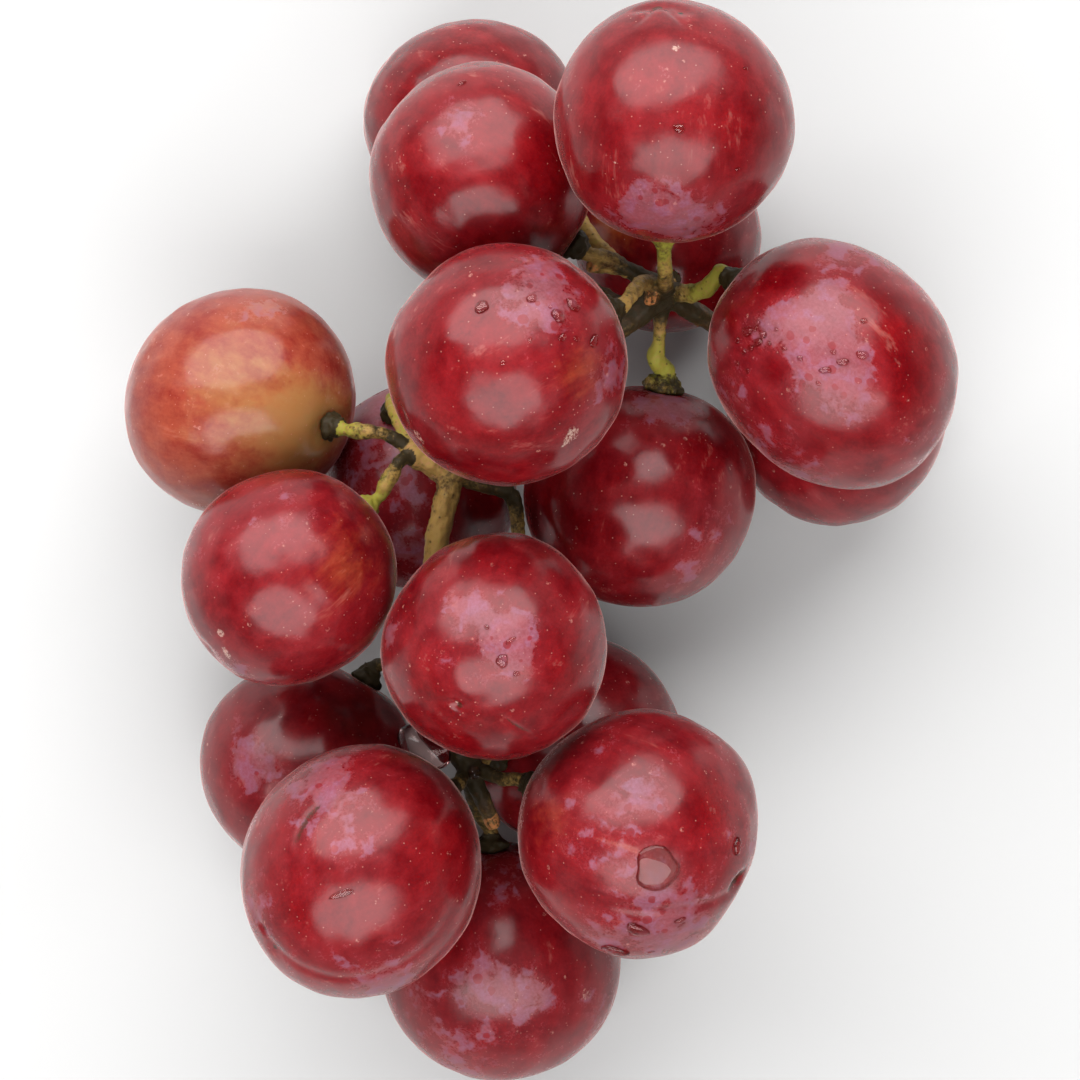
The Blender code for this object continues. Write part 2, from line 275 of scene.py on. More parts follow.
def makeWaxGroup():
    # waxy bloom: a pale film with wiped, sharp-edged gaps and dried-drop holes; Level is how much a place keeps
    inputs = [("Point", "NodeSocketVector", None), ("Level", "NodeSocketFloat", 0.5)]
    outputs = ["Film", "Haze", "Broad", "Mottle", "Grain"]
    tree, given, made = newGroup("waxBloom", inputs, [(output, "NodeSocketFloat") for output in outputs])
    broad, mottle, grain = (noise(tree, given["Point"], *bloom[name]) for name in ("broad", "mottle", "grain"))
    broadWave, mottleWave, grainWave = (calc(tree, "SUBTRACT", value, 0.5) for value in (broad, mottle, grain))
    waves = weighted(tree, (broadWave, bloom["waviness"]), (mottleWave, bloom["waviness"]))
    field = calc(tree, "ADD", given["Level"], waves)
    edge = weighted(tree, (field, 1.0), (grainWave, bloom["raggedness"]))
    distance, chance = scatter(tree, given["Point"], bloom["holeScale"], 0)
    size = calc(tree, "MULTIPLY", rise(tree, chance, *bloom["holeChances"], 0.0, bloom["holeSize"]), mottle)
    hole = rise(tree, calc(tree, "SUBTRACT", distance, size), bloom["holeEdge"], 0.0, 1.0, 0.0)
    left = calc(tree, "SUBTRACT", 1.0, calc(tree, "MULTIPLY", hole, bloom["holeDepth"]))
    film = weighted(tree, (rise(tree, edge, *bloom["crispLevels"]), bloom["crispAmount"]),
                    (rise(tree, edge, *bloom["softLevels"]), bloom["softAmount"]))
    film = calc(tree, "MULTIPLY", film, left)
    film = calc(tree, "MULTIPLY", film, rise(tree, grain, *bloom["grainLevels"], *bloom["grainAmounts"]))
    results = {"Film": film, "Haze": rise(tree, field, *bloom["hazeLevels"]),
               "Broad": broad, "Mottle": mottle, "Grain": grain}
    for output, value in results.items():
        tree.links.new(value, made[output])
    return tree


def makeSpeckGroup():
    # small dots; Size is the part of a cell that a dot fills, Share the part of the cells that have one
    inputs = [("Point", "NodeSocketVector", None), ("Scale", "NodeSocketFloat", 1.0),
              ("Size", "NodeSocketFloat", 0.2), ("Share", "NodeSocketFloat", 0.5)]
    tree, given, made = newGroup("specks", inputs, [("Dots", "NodeSocketFloat")])
    distance, chance = scatter(tree, given["Point"], given["Scale"], 1)
    chosen = calc(tree, "LESS_THAN", chance, given["Share"])
    near = calc(tree, "DIVIDE", distance, given["Size"])
    dots = calc(tree, "MULTIPLY", rise(tree, near, 0.55, 1.0, 1.0, 0.0), chosen)
    tree.links.new(dots, made["Dots"])
    return tree


waxBloom = makeWaxGroup()
specks = makeSpeckGroup()


# Berry skins

redLook = {"deep": (0.084, 0.0004, 0.002), "bright": (0.188, 0.004, 0.006), "amber": (0.23, 0.05, 0.011),
           "green": (0.17, 0.11, 0.022), "wax": (0.255, 0.12, 0.15), "lavender": (0.23, 0.15, 0.235),
           "speck": (0.36, 0.15, 0.12), "scar": (0.40, 0.26, 0.21), "crack": (0.055, 0.01, 0.005)}
amberLook = {**redLook, "deep": (0.155, 0.009, 0.006), "bright": (0.26, 0.049, 0.023), "wax": (0.33, 0.19, 0.16),
             "amber": (0.235, 0.10, 0.03)}
skinPlain = {"IOR": 1.5, "Subsurface Weight": 0.42, "Subsurface Radius": (1.0, 0.14, 0.10),
             "Subsurface Scale": 0.0035, "Specular IOR Level": 0.31, "Sheen Weight": 0.45, "Sheen Roughness": 0.18,
             "Sheen Tint": (1.0, 0.56, 0.52, 1.0)}
# a cover is how far a layer hides what is below it; streaks and swell are noises, the bump's depth is in mm
skinMix = {"streaks": (1.0, 4.0, 0.7), "brightLevels": (0.85, 1.6), "wipedAndShadeLevels": (-0.3, 0.6, -0.09, 0.07),
           "amberLevels": (0.66, 1.3), "greenLevels": (1.25, 2.2),
           "dots": {"Scale": 1.3, "Size": 0.13, "Share": 0.5}, "dotCover": 0.55,
           "flecks": {"Scale": 0.5, "Size": 0.16, "Share": 0.3}, "fleckCover": 0.7, "fleckLevels": (0.45, 0.62),
           "hazeCover": 0.07, "filmCover": 0.29, "lavenderLevels": (0.48, 0.62),
           "scuffCover": 0.28, "scuffLevels": (0.61, 0.76), "scarCover": 0.75, "scarLevels": (0.40, 0.56),
           "crackLevels": (0.2, 0.34), "roughness": 0.185, "swell": (1.5, 2.0, 0.6), "bump": (0.22, 0.06)}


def makeSkin(name, look):
    material, tree, shader = newMaterial(name, skinPlain)
    shader.subsurface_method = "BURLEY"
    point, waxLevel = attribute(tree, "skinPoint", "Vector"), attribute(tree, "waxLevel")
    wax = useGroup(tree, waxBloom, {"Point": point, "Level": waxLevel})
    streaks = noise(tree, attribute(tree, "streakPoint", "Vector"), *skinMix["streaks"])
    # where waxLevel is low the base red darkens: at wiped bloom, and as painted shade where negative wax patches sit
    # on the berries' darker sides
    brightness = weighted(tree, (wax["Broad"], 0.6), (streaks, 0.8), (wax["Mottle"], 0.5), (wax["Grain"], 0.5),
                          (rise(tree, waxLevel, *skinMix["wipedAndShadeLevels"]), 1.0))
    colour = tint(tree, rise(tree, brightness, *skinMix["brightLevels"]), look["deep"], look["bright"])
    ripeness = weighted(tree, (attribute(tree, "amberLevel"), 1.0), (streaks, 0.6), (wax["Mottle"], 0.4))
    colour = tint(tree, rise(tree, ripeness, *skinMix["amberLevels"]), colour, look["amber"])
    colour = tint(tree, rise(tree, ripeness, *skinMix["greenLevels"]), colour, look["green"])
    dots, flecks = (useGroup(tree, specks, {"Point": point, **skinMix[kind]})["Dots"] for kind in ("dots", "flecks"))
    colour = cover(tree, colour, dots, skinMix["dotCover"], look["speck"])
    flecks = calc(tree, "MULTIPLY", flecks, rise(tree, wax["Grain"], *skinMix["fleckLevels"]))
    colour = cover(tree, colour, flecks, skinMix["fleckCover"], look["speck"])
    colour = cover(tree, colour, wax["Haze"], skinMix["hazeCover"], look["wax"])
    film = tint(tree, rise(tree, wax["Mottle"], *skinMix["lavenderLevels"]), look["wax"], look["lavender"])
    colour = cover(tree, colour, wax["Film"], skinMix["filmCover"], film)
    scuffs = rise(tree, streaks, *skinMix["scuffLevels"])
    colour = cover(tree, colour, scuffs, skinMix["scuffCover"], look["speck"])
    scars, cracks = (calc(tree, "MULTIPLY", attribute(tree, level), wax["Grain"])
                     for level in ("scarLevel", "crackLevel"))
    colour = tint(tree, rise(tree, scars, *skinMix["scarLevels"], 0.0, skinMix["scarCover"]), colour, look["scar"])
    colour = tint(tree, rise(tree, cracks, *skinMix["crackLevels"]), colour, look["crack"])
    tree.links.new(colour, shader.inputs["Base Color"])
    roughness = weighted(tree, (wax["Film"], 0.10), (wax["Haze"], 0.10), (wax["Grain"], 0.06))
    tree.links.new(calc(tree, "ADD", roughness, skinMix["roughness"]), shader.inputs["Roughness"])
    addBump(tree, shader, noise(tree, point, *skinMix["swell"]), *skinMix["bump"])
    return material


redSkin = makeSkin("red_grape_skin", redLook)
amberSkin = makeSkin("amber_grape_skin", amberLook)
print("skins ready")


# Berries, each on its CAD berry's own middle, half sizes and turn, with the way to its stalk

# Middles, half sizes, heights and depths are in mm, turns in degrees. Places are seen from above, and they, sizes
# and widths are in parts of the berry's radius.
# bulges: (way, height, width); wax, amber: (x, y, size, amount) patches on top of waxBase and amberBase.
# creases: (start, middle, end, depth, width); cracks, scars: the same with a strength in place of the depth.
# drops: (x, y, half length, half width and height in mm, turn). hollow: depth of the dent at the stalk, 1 for most.
# wax patches with a negative amount thin the bloom and darken the base red: partly wiped bloom, partly painted shade
# on the berries' darker sides
plainBerry = {"turn": 0, "bulges": [], "columns": 168, "rings": 96, "hollow": 1.0, "waxBase": 0.2, "amberBase": 0.0,
              "wax": [], "amber": [], "scars": [], "cracks": [], "creases": [], "drops": []}
berries = {
    "berry_01": {
        "middle": (14.6, 45.6, 49.6), "half": (13.0, 12.9, 12.9), "stalk": (-0.05, -0.86, -0.5),
        "bulges": [((-1.0, -0.2, 0.1), -0.4, 0.35), ((-0.2, 0.97, 0.1), 0.3, 0.4)], "waxBase": 0.18,
        # painted shade: the negative wax patch at (-0.85, -0.23) darkens berry_01's left side
        "wax": [(-0.25, -0.76, 0.4, 0.5), (-0.85, -0.23, 0.3, -0.3), (0.2, -0.9, 0.4, 0.35), (0.05, 0.45, 0.4, 0.15),
            (-0.55, -0.55, 0.15, -0.5)],
        "creases": [((-0.32, 0.86), (-0.14, 0.91), (0.04, 0.9), 0.35, 0.035),
            ((-0.14, 0.93), (-0.22, 0.84), (-0.3, 0.74), 0.15, 0.03),
            ((-0.1, 0.92), (-0.02, 0.84), (0.05, 0.74), 0.15, 0.03)],
        "cracks": [((-0.19, 0.9), (-0.14, 0.91), (-0.09, 0.915), 1.0, 0.025)],
        "scars": [((-0.03, 0.48), (0.0, 0.52), (-0.02, 0.56), 1.0, 0.012),
            ((-0.62, -0.3), (-0.5, -0.38), (-0.42, -0.5), 0.8, 0.012)], "columns": 240, "rings": 140,
        "drops": [(0.02, -0.15, 0.6, 0.5, 0.3, 0), (0.56, 0.36, 0.3, 0.2, 0.15, 0), (0.5, -0.45, 0.25, 0.2, 0.15, 0)]},
    "berry_02": {
        "middle": (-6.1, 41.0, 34.9), "half": (12.4, 12.9, 12.6), "stalk": (0.82, -0.56, -0.1),
        "bulges": [((-0.62, 0.78, 0.0), -0.4, 0.4)], "waxBase": 0.15,
        # painted shade: the negative wax patches at (0.58, 0.07) and (-0.75, 0.0) darken berry_02's right and left
        # sides
        "wax": [(-0.2, 0.35, 0.4, 0.35), (0.58, 0.07, 0.4, -0.4), (0, -0.8, 0.4, -0.3), (-0.75, 0.0, 0.35, -0.4)],
        "drops": [(-0.16, 0.74, 0.5, 0.3, 0.25, 30)]},
    "berry_03": {
        "middle": (-7.9, 50.5, 11.9), "half": (12.5, 10.8, 12.2), "turn": 17, "stalk": (0.75, -0.6, 0.3),
        # painted shade: the negative wax patch at (-0.5, 0.4) darkens berry_03's upper left
        "waxBase": 0.15, "wax": [(-0.5, 0.4, 0.5, -0.4), (0.1, 0.2, 0.3, 0.2)]},
    "berry_04": {
        "middle": (-3.2, 19.7, 49.7), "half": (12.9, 13.0, 12.9), "stalk": (0.88, 0.46, -0.3),
        "bulges": [((-0.72, 0.69, 0.1), -0.2, 0.4)], "amber": [(0.66, -0.1, 0.4, 0.35)], "waxBase": 0.2,
        # painted shade: the negative wax patches at (-0.85, 0.0) and (-0.2, -0.8) darken berry_04's left side and
        # bottom
        "wax": [(0.25, 0.6, 0.5, 0.5), (-0.85, 0.0, 0.4, -0.4), (-0.2, -0.8, 0.5, -0.4), (0.62, 0.72, 0.18, -0.9),
            (0.85, -0.1, 0.3, 0.4), (-0.2, 0.8, 0.2, -0.3), (0.7, 0.3, 0.15, -0.5)],
        "scars": [((0.5, -0.5), (0.54, -0.6), (0.5, -0.68), 1.0, 0.035),
            ((-0.78, -0.5), (-0.72, -0.6), (-0.64, -0.68), 1.0, 0.03),
            ((-0.35, 0.15), (-0.42, 0.05), (-0.5, -0.06), 0.55, 0.012),
            ((0.35, -0.76), (0.42, -0.72), (0.48, -0.68), 0.9, 0.02)],
        "drops": [(-0.19, 0.42, 0.75, 0.7, 0.45, 20), (0.21, 0.49, 0.6, 0.5, 0.35, 70),
            (0.545, 0.446, 1.0, 0.6, 0.4, -20), (0.42, 0.35, 0.75, 0.75, 0.45, 0), (0.46, 0.18, 0.5, 0.42, 0.3, 40),
            (0.575, 0.17, 0.32, 0.3, 0.2, 0), (0.72, 0.16, 0.8, 0.55, 0.35, 80), (0.36, 0.42, 0.2, 0.2, 0.15, 0),
            (0.2, 0.15, 0.35, 0.25, 0.15, 60), (-0.02, -0.03, 0.4, 0.25, 0.15, 30)]},
    "berry_05": {
        "middle": (32.6, 20.3, 38.9), "half": (14.4, 12.9, 13.6), "turn": -46, "stalk": (-0.77, 0.64, -0.15),
        "bulges": [((0.57, 0.82, 0.1), -0.3, 0.5), ((-0.98, -0.15, 0.1), 0.4, 0.4), ((-0.78, -0.62, 0.0), -0.4, 0.4),
            ((0.5, -0.87, 0.0), 0.4, 0.4)], "waxBase": 0.42,
        "wax": [(-0.15, 0.29, 0.55, 0.2), (-0.47, 0.69, 0.24, -1.2), (0.45, 0.34, 0.24, -1.0),
            (0.58, 0.05, 0.24, -0.8), (0.5, -0.3, 0.2, -0.6), (-0.87, 0.24, 0.12, -1.2),
            (-0.54, -0.12, 0.11, -0.8), (-0.1, -0.67, 0.14, -0.7), (0.2, -0.65, 0.12, -0.6),
            (-0.6, -0.4, 0.14, -0.4), (0.85, 0.3, 0.3, -0.4), (0.3, -0.9, 0.3, -0.4)],
        "scars": [((0.68, -0.28), (0.72, -0.34), (0.77, -0.38), 0.9, 0.02)],
        "drops": [(-0.715, 0.18, 0.75, 0.65, 0.4, 0), (-0.64, 0.095, 0.65, 0.5, 0.3, 10),
            (-0.6, 0.16, 0.5, 0.45, 0.3, 0), (-0.63, 0.25, 0.4, 0.3, 0.2, 60), (0.0, -0.035, 0.65, 0.45, 0.3, 10),
            (0.155, 0.03, 0.7, 0.5, 0.3, -10), (-0.14, -0.105, 0.7, 0.4, 0.25, 5), (-0.07, 0.04, 0.35, 0.3, 0.2, 0),
            (0.19, 0.3, 0.4, 0.35, 0.2, 0), (-0.75, 0.02, 0.35, 0.3, 0.2, 0), (-0.66, 0.2, 0.35, 0.3, 0.2, 0),
            (-0.79, 0.11, 0.4, 0.3, 0.2, 70), (-0.7, 0.05, 0.45, 0.4, 0.25, 0), (-0.56, 0.09, 0.3, 0.25, 0.15, 0),
            (-0.8, -0.07, 0.35, 0.3, 0.2, 60), (-0.73, -0.13, 0.3, 0.3, 0.15, 0), (-0.5, 0.2, 0.3, 0.2, 0.15, 0),
            (-0.45, 0.05, 0.3, 0.25, 0.15, 0), (-0.2, -0.21, 0.3, 0.25, 0.15, 0), (-0.33, -0.02, 0.35, 0.3, 0.2, 30)]},
    "berry_06": {
        "middle": (34.9, 16.3, 12.5), "half": (12.8, 13.7, 12.8), "stalk": (-0.7, 0.3, 0.65), "waxBase": 0.15},
    "berry_07": {
        "middle": (11.9, 5.9, 20.8), "half": (13.3, 12.7, 13.0), "turn": 10, "stalk": (0.18, 0.97, 0.2),
        "bulges": [((0.87, 0.5, 0.0), 0.3, 0.35), ((0.96, -0.3, 0.0), -0.3, 0.35)], "waxBase": 0.2,
        "wax": [(0.2, 0.8, 0.4, 0.45), (0.6, -0.25, 0.35, 0.35), (-0.7, 0.1, 0.5, -0.3), (0.5, 0.5, 0.2, -0.3),
            (0.4, -0.75, 0.3, 0.2)],
        "scars": [((0.08, 0.5), (0.1, 0.38), (0.16, 0.3), 0.7, 0.012),
            ((-0.05, -0.12), (-0.02, -0.17), (0.06, -0.19), 0.7, 0.012)]},
    "berry_08": {
        "middle": (-33.7, 16.6, 23.2), "half": (13.4, 12.6, 13.0), "turn": 37, "stalk": (0.82, -0.25, 0.53),
        "waxBase": 0.2, "amberBase": 0.15,
        "amber": [(0.65, -0.3, 0.5, 0.8), (-0.9, 0.1, 0.5, -0.7), (0.75, 0.5, 0.35, -0.5), (-0.1, 0.2, 0.5, 0.35),
            (-0.1, -0.9, 0.4, -0.2), (-0.1, 0.9, 0.3, -0.3)], "wax": [(0.3, 0.8, 0.35, 0.25), (0.0, 0.3, 0.4, 0.2)]},
    "berry_09": {
        "middle": (-27.4, -3.3, 37.2), "half": (12.1, 11.7, 12.1), "turn": 63, "stalk": (0.72, 0.64, -0.27),
        "bulges": [((0.4, -0.9, 0.1), -0.4, 0.35), ((0.95, 0.1, 0.2), 0.3, 0.4), ((-0.75, -0.65, 0.0), -0.3, 0.4)],
        "waxBase": 0.25, "wax": [(-0.2, 0.7, 0.4, 0.15), (-0.5, -0.75, 0.3, 0.3)], "amberBase": 0.08,
        "amber": [(0.6, 0.15, 0.5, 0.25)],
        "scars": [((-0.62, -0.42), (-0.57, -0.48), (-0.55, -0.52), 1.1, 0.03),
            ((-0.56, -0.6), (-0.52, -0.67), (-0.48, -0.75), 1.2, 0.03),
            ((-0.3, -0.8), (-0.15, -0.82), (0.0, -0.8), 0.5, 0.03)]},
    "berry_10": {
        "middle": (-13.8, 7.1, 11.7), "half": (11.5, 12.0, 12.0), "stalk": (-0.2, 0.7, 0.69), "waxBase": 0.45,
        "wax": [(-0.4, 0.75, 0.4, 0.3), (0.75, 0.0, 0.5, -0.4)]},
    "berry_11": {
        "middle": (-4.6, -10.8, 42.2), "half": (12.4, 12.3, 12.4), "stalk": (0.3, 0.5, -0.81),
        "bulges": [((-0.79, 0.61, 0.0), -0.5, 0.35), ((0.3, 0.95, 0.0), 0.3, 0.4)], "waxBase": 0.2,
        "wax": [(-0.15, 0.2, 0.55, 0.34), (0.2, 0.05, 0.25, 0.35), (-0.7, -0.45, 0.35, -0.8),
            (-0.1, -0.85, 0.3, -0.6), (-0.9, 0.1, 0.2, 0.5), (0.75, -0.2, 0.3, -0.4), (-0.3, 0.85, 0.25, -0.4)],
        "scars": [((-0.345, -0.46), (-0.325, -0.48), (-0.305, -0.5), 1.3, 0.02),
            ((0.5, 0.55), (0.6, 0.45), (0.66, 0.32), 0.8, 0.015)],
        "cracks": [((0.1, -0.59), (0.22, -0.68), (0.35, -0.75), 0.7, 0.025)], "columns": 240, "rings": 140,
        "creases": [((0.08, -0.58), (0.22, -0.69), (0.37, -0.77), 0.22, 0.025),
            ((-0.42, -0.42), (-0.4, -0.52), (-0.34, -0.62), 0.15, 0.03),
            ((-0.37, -0.45), (-0.325, -0.48), (-0.28, -0.51), 0.35, 0.05)],
        "drops": [(0.08, -0.09, 0.8, 0.6, 0.35, 70), (0.15, 0.085, 0.6, 0.25, 0.2, 30),
            (0.2, -0.2, 0.35, 0.3, 0.2, 0), (-0.05, 0.2, 0.3, 0.25, 0.15, 0)]},
    "berry_12": {
        "middle": (-26.2, -25.8, 12.1), "half": (13.2, 12.2, 12.4), "turn": -30, "stalk": (0.52, 0.85, 0.0),
        "waxBase": 0.22, "wax": [(-0.45, 0.1, 0.4, 0.3), (-0.3, -0.5, 0.4, 0.2), (0.1, 0.6, 0.3, -0.2)]},
    "berry_13": {
        "middle": (-19.4, -35.6, 35.8), "half": (14.2, 13.2, 13.7), "turn": 71, "stalk": (0.68, 0.55, -0.48),
        "bulges": [((-0.5, 0.87, 0.0), -0.3, 0.4)], "waxBase": 0.3,
        "wax": [(-0.35, 0.75, 0.35, 0.35), (0.7, 0.3, 0.35, -0.5), (0.1, -0.4, 0.2, -0.2), (-0.8, -0.3, 0.3, 0.2),
            (0.1, 0.3, 0.4, 0.15), (-0.15, -0.1, 0.1, -0.6), (0.3, -0.85, 0.3, 0.3), (-0.45, -0.25, 0.15, -0.4)],
        "columns": 260, "rings": 150,
        "creases": [((-0.77, -0.4), (-0.07, -0.78), (0.75, -0.31), 0.2, 0.05),
            ((-0.8, -0.37), (-0.77, -0.4), (-0.73, -0.44), 0.3, 0.035),
            ((-0.25, 0.61), (-0.42, 0.45), (-0.5, 0.22), 0.12, 0.03)],
        "cracks": [((-0.25, 0.61), (-0.42, 0.45), (-0.5, 0.22), 0.68, 0.024),
            ((-0.785, -0.385), (-0.77, -0.4), (-0.755, -0.415), 1.0, 0.02)],
        "scars": [((0.72, 0.1), (0.74, 0.16), (0.73, 0.22), 0.8, 0.02),
            ((0.45, -0.72), (0.55, -0.68), (0.68, -0.55), 0.75, 0.012),
            ((-0.25, 0.64), (-0.1, 0.68), (0.1, 0.6), 0.75, 0.015)], "drops": [(-0.11, -0.1, 1.5, 0.4, 0.1, 15)]},
    "berry_14": {
        "middle": (15.3, 36.3, 11.1), "half": (10.9, 11.2, 11.5), "stalk": (0.0, -0.5, 0.87), "hollow": 0.1,
        "waxBase": 0.0, "amber": [(-0.6, 0.1, 0.4, 0.6)]},
    "berry_15": {
        "middle": (11.2, -31.6, 35.8), "half": (13.3, 13.8, 13.6), "stalk": (-0.85, 0.36, -0.38),
        "bulges": [((0.81, 0.59, 0.0), 0.7, 0.4), ((-0.6, 0.8, 0.0), -0.5, 0.4), ((-0.62, -0.78, 0.0), -0.4, 0.4),
            ((0.87, -0.5, 0.0), -0.8, 0.35)], "waxBase": 0.35,
        "amber": [(-0.75, 0.15, 0.35, 0.3), (-0.1, 0.1, 0.5, 0.12)],
        "wax": [(-0.25, -0.1, 0.35, 0.12), (0.2, -0.75, 0.4, 0.3), (-0.85, -0.1, 0.25, -0.3),
            # painted highlight: the wax patch at (0.05, 0.42) lightens berry_15's skin where its top highlight falls
            (0.55, 0.3, 0.25, -0.6), (0.05, 0.42, 0.3, 0.25), (0.75, 0.1, 0.2, 0.2)], "columns": 260, "rings": 150,
        "creases": [((0.8, -0.4), (0.33, -0.54), (-0.3, -0.48), 0.25, 0.055),
            ((0.76, -0.4), (0.83, -0.36), (0.89, -0.29), 0.7, 0.035)],
        "cracks": [((0.75, -0.41), (0.83, -0.36), (0.9, -0.27), 1.5, 0.022)],
        "scars": [((0.42, -0.46), (0.48, -0.47), (0.55, -0.44), 0.8, 0.02)],
        "drops": [(0.13, -0.2, 2.6, 2.3, 0.5, 5), (-0.02, -0.7, 1.3, 0.8, 0.5, -20),
            (-0.2, -0.89, 1.5, 0.9, 0.5, -5), (0.79, -0.05, 1.1, 0.5, 0.45, 80), (0.33, -0.63, 0.7, 0.35, 0.3, 15),
            (0.1, -0.9, 0.4, 0.15, 0.1, 10)]},
    "berry_16": {
        "middle": (4.2, -22.5, 12.1), "half": (12.5, 12.3, 12.4), "stalk": (-0.7, -0.1, 0.7), "waxBase": 0.15},
    "berry_17": {
        "middle": (-4.2, -48.0, 13.1), "half": (14.0, 13.8, 13.4), "stalk": (-0.07, 0.97, 0.2), "waxBase": 0.38,
        "wax": [(-0.1, -0.1, 0.5, 0.2), (-0.5, 0.3, 0.25, -0.7), (0.5, 0.35, 0.3, -0.3)],
        "scars": [((0.65, -0.15), (0.7, -0.22), (0.78, -0.2), 0.9, 0.012)]},
}
# swells and waves: (height in mm, length in radii); the noise places of the skin go on by a step for each berry
berryMake = {"hollowDepth": 0.6, "hollowWidth": 2.2, "tipDepth": 0.3, "tipWidth": 1.2, "tipScar": 0.4,
             "swells": (0.05, 0.9), "waves": (0.028, 0.3), "waveSeed": 50, "streaksAround": 5.0, "streaksAlong": 0.9,
             "skinStep": 31.0, "streakStep": 17.0}


def berryFrame(look):
    # three unit ways: towards the stalk, and two square to it
    stalkWay = unit(np.array(look["stalk"], float))
    side = unit(np.cross(stalkWay, (0.0, 0.0, 1.0) if abs(stalkWay[2]) < 0.9 else (1.0, 0.0, 0.0)))
    return stalkWay, side, np.cross(stalkWay, side)


def plainOval(look, ways):
    turn = math.radians(look["turn"])
    spin = np.array([[math.cos(turn), -math.sin(turn), 0.0], [math.sin(turn), math.cos(turn), 0.0], [0.0, 0.0, 1.0]])
    return ways @ (spin @ np.diag(look["half"]) @ spin.T)


def berrySkin(look, ways):
    # place = stretched way * (1 + height / radius);
    # height = low waves + bulges - stalk hollow - tip dimple - creases
    stalkWay = unit(np.array(look["stalk"], float))
    place = plainOval(look, ways)
    radius = np.linalg.norm(place, axis=1)
    swell, swellLength = berryMake["swells"]
    wave, waveLength = berryMake["waves"]
    height = swell * ripple(ways, look["seed"], swellLength, 16)
    height += wave * ripple(ways, look["seed"] + berryMake["waveSeed"], waveLength, 16)
    for way, bulge, width in look["bulges"]:
        height += bulge * np.exp(-(np.linalg.norm(ways - unit(np.array(way, float)), axis=1) / width) ** 2)
    fromStalk = np.linalg.norm(ways - stalkWay, axis=1) * radius
    fromTip = np.linalg.norm(ways + stalkWay, axis=1) * radius
    height -= look["hollow"] * berryMake["hollowDepth"] * np.exp(-(fromStalk / berryMake["hollowWidth"]) ** 2)
    height -= berryMake["tipDepth"] * np.exp(-(fromTip / berryMake["tipWidth"]) ** 2)
    for start, middle, end, depth, width in look["creases"]:
        height -= depth * lineMask(ways, start, middle, end, width)
    return place * (1.0 + height / radius)[:, None]


def seenFromAbove(x, y):
    return np.array([x, y, math.sqrt(max(0.0, 1.0 - x * x - y * y))])


def lineMask(ways, start, middle, end, width):
    # 1 on the arc through three places and less beside it: exp(-(across / width)^2) * exp(-(along / reach)^4)
    first, centre, last = (seenFromAbove(*spot) for spot in (start, middle, end))
    plane = unit(np.cross(first - centre, last - centre))
    reach = (np.linalg.norm(first - centre) + np.linalg.norm(last - centre)) / 2
    off = ways - centre
    return np.exp(-((off @ plane) / width) ** 2) * np.exp(-(np.linalg.norm(off, axis=1) / reach) ** 4)


def lines(ways, rows):
    level = np.zeros(len(ways))
    for start, middle, end, strength, width in rows:
        level += strength * lineMask(ways, start, middle, end, width)
    return level


def patches(ways, rows, base):
    # base + the sum of amount * exp(-(distance / size)^2)
    level = np.full(len(ways), base, float)
    for x, y, size, amount in rows:
        level += amount * np.exp(-(np.linalg.norm(ways - unit(seenFromAbove(x, y)), axis=1) / size) ** 2)
    return level


def makeBerry(node, look, material):
    own = unitBall(look["rings"], look["columns"])
    ways = own @ np.array(berryFrame(look))
    local = berrySkin(look, ways)
    points = local + look["middle"]
    points[:, 2] = np.maximum(points[:, 2], 0.0)
    piece = newPiece(node + "_skin", points * mm, closedGrid(look["rings"], look["columns"]), material)
    around = unit(own[:, 1:] + 1e-9) * berryMake["streaksAround"] * np.sqrt(1.0001 - own[:, :1] ** 2)
    streak = np.column_stack([around, own[:, 0] * berryMake["streaksAlong"]])
    skin = own * np.linalg.norm(local, axis=1)[:, None]
    tipSpot = np.exp(-(np.linalg.norm(own + (1.0, 0.0, 0.0), axis=1) * look["half"][0] / berryMake["tipScar"]) ** 2)
    setValues(piece.data, "skinPoint", skin + look["seed"] * berryMake["skinStep"])
    setValues(piece.data, "streakPoint", streak + look["seed"] * berryMake["streakStep"])
    setValues(piece.data, "waxLevel", patches(ways, look["wax"], look["waxBase"]))
    setValues(piece.data, "amberLevel", patches(ways, look["amber"], look["amberBase"]))
    setValues(piece.data, "scarLevel", lines(ways, look["scars"]))
    setValues(piece.data, "crackLevel", lines(ways, look["cracks"]) + tipSpot)
    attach(piece, "root")
    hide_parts(node)


for index, (node, own) in enumerate(berries.items()):
    berries[node] = {**plainBerry, **own, "seed": index + 1}
    makeBerry(node, berries[node], amberSkin if node == "berry_08" else redSkin)
print("berries ready")


# Water drops: low domes on the skin, sunk a little into it

# outline: (waves round it, their share of the radius)
# the water's colour is painted: its middle is a pink tint for the red skin seen through it, and towards the edge it
# turns dark red, a ring of painted shade
dropLook = {"rings": 14, "columns": 28, "underside": 0.12, "fullness": 0.35,
            "outline": [(2, 0.10), (3, 0.07), (5, 0.04)],
            "clear": (0.96, 0.66, 0.64), "rimShade": (0.42, 0.035, 0.04), "rimShadeLevels": (0.35, 0.95), "beadRimShade": 0.7}
waterPlain = {"Roughness": 0.02, "IOR": 1.33, "Transmission Weight": 1.0, "Specular IOR Level": 0.3}
# water caught on the stem: middle, half length, half width, half height in mm, and its turn in degrees
beads = [(-12.6, -22.3, 29.0, 3.4, 2.1, 2.2, -34), (-7.0, -25.3, 27.6, 0.75, 0.75, 0.8, 0)]


